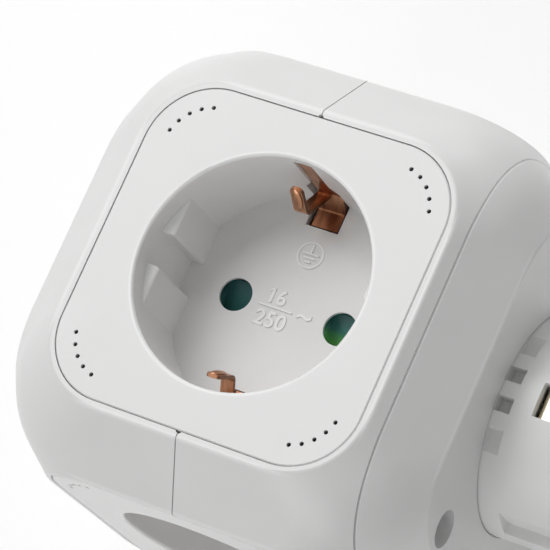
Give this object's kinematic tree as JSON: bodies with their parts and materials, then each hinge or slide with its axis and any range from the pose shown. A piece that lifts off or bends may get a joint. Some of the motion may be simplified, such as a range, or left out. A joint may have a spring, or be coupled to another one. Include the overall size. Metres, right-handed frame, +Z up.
{
  "type": "cube socket adapter",
  "caption": "White chamfered cube socket adapter: recessed earthed round sockets on its sides, a round wall plug on one end and USB ports on the other.",
  "frame": {"origin": "on the ground under the middle of the bounding box", "axes": "+X from the USB end to the plug's pins, +Z up out of the top socket, +Y to the back socket"},
  "size_m": [0.1116, 0.0752, 0.0752],
  "materials": {
    "shell": "smooth white moulding, semi-gloss",
    "panel": "smooth white moulding, semi-gloss",
    "plug_face": "white moulding",
    "steel": "zinc plated",
    "spring_steel": "spring steel",
    "nickel": "nickel plated",
    "strip": "plated strip",
    "shutter": "green moulding",
    "copper": "copper alloy strip, slightly dulled",
    "contact": "stamped brass",
    "core": "insulating moulding",
    "wire_live": "brown insulation",
    "wire_neutral": "blue insulation",
    "board": "solder mask",
    "tongue": "white moulding",
    "ferrite": "ferrite and yellow tape",
    "capacitor": "sleeved can"
  },
  "bodies": {
    "base": {"contact_core": "core", "contact_live": "contact", "contact_neutral": "contact", "core_cover_left": "core", "core_cover_right": "core", "earth_contact_back_bottom": "copper", "earth_contact_back_top": "copper", "earth_contact_front_bottom": "copper", "earth_contact_front_top": "copper", "earth_frame": "copper", "end_cap": "shell", "housing_screws": "steel", "plug_earth_strip_lower": "strip", "plug_earth_strip_upper": "strip", "plug_face": "plug_face", "plug_pin_live": "nickel", "plug_pin_neutral": "nickel", "shell_left": "shell", "shell_right": "shell", "shutter_spring_back": "spring_steel", "shutter_spring_bottom": "spring_steel", "shutter_spring_front": "spring_steel", "shutter_spring_top": "spring_steel", "socket_back": "panel", "socket_bottom": "panel", "socket_front": "panel", "socket_top": "panel", "usb_board": "board", "usb_capacitors": "capacitor", "usb_lead_live": "wire_live", "usb_lead_neutral": "wire_neutral", "usb_panel": "panel", "usb_port_1": "steel", "usb_port_2": "steel", "usb_tongue_1": "tongue", "usb_tongue_2": "tongue", "usb_transformer": "ferrite", "wire_live": "wire_live", "wire_neutral": "wire_neutral"},
    "shutter_top": {"shutter_top": "shutter"},
    "shutter_front": {"shutter_front": "shutter"},
    "shutter_bottom": {"shutter_bottom": "shutter"},
    "shutter_back": {"shutter_back": "shutter"}
  },
  "joints": [
    {"name": "shutter_top_slide", "type": "slide", "parent": "base", "child": "shutter_top", "axis": [0, 1, 0], "range_m": [0, 0.0058], "stiffness_N_per_m": 100, "springref_m": -0.003, "deforming": ["shutter_spring_top"]},
    {"name": "shutter_front_slide", "type": "slide", "parent": "base", "child": "shutter_front", "axis": [0, 0, 1], "range_m": [0, 0.0058], "stiffness_N_per_m": 100, "springref_m": -0.003, "deforming": ["shutter_spring_front"]},
    {"name": "shutter_bottom_slide", "type": "slide", "parent": "base", "child": "shutter_bottom", "axis": [0, -1, 0], "range_m": [0, 0.0058], "stiffness_N_per_m": 100, "springref_m": -0.003, "deforming": ["shutter_spring_bottom"]},
    {"name": "shutter_back_slide", "type": "slide", "parent": "base", "child": "shutter_back", "axis": [0, 0, -1], "range_m": [0, 0.0058], "stiffness_N_per_m": 100, "springref_m": -0.003, "deforming": ["shutter_spring_back"]}
  ]
}
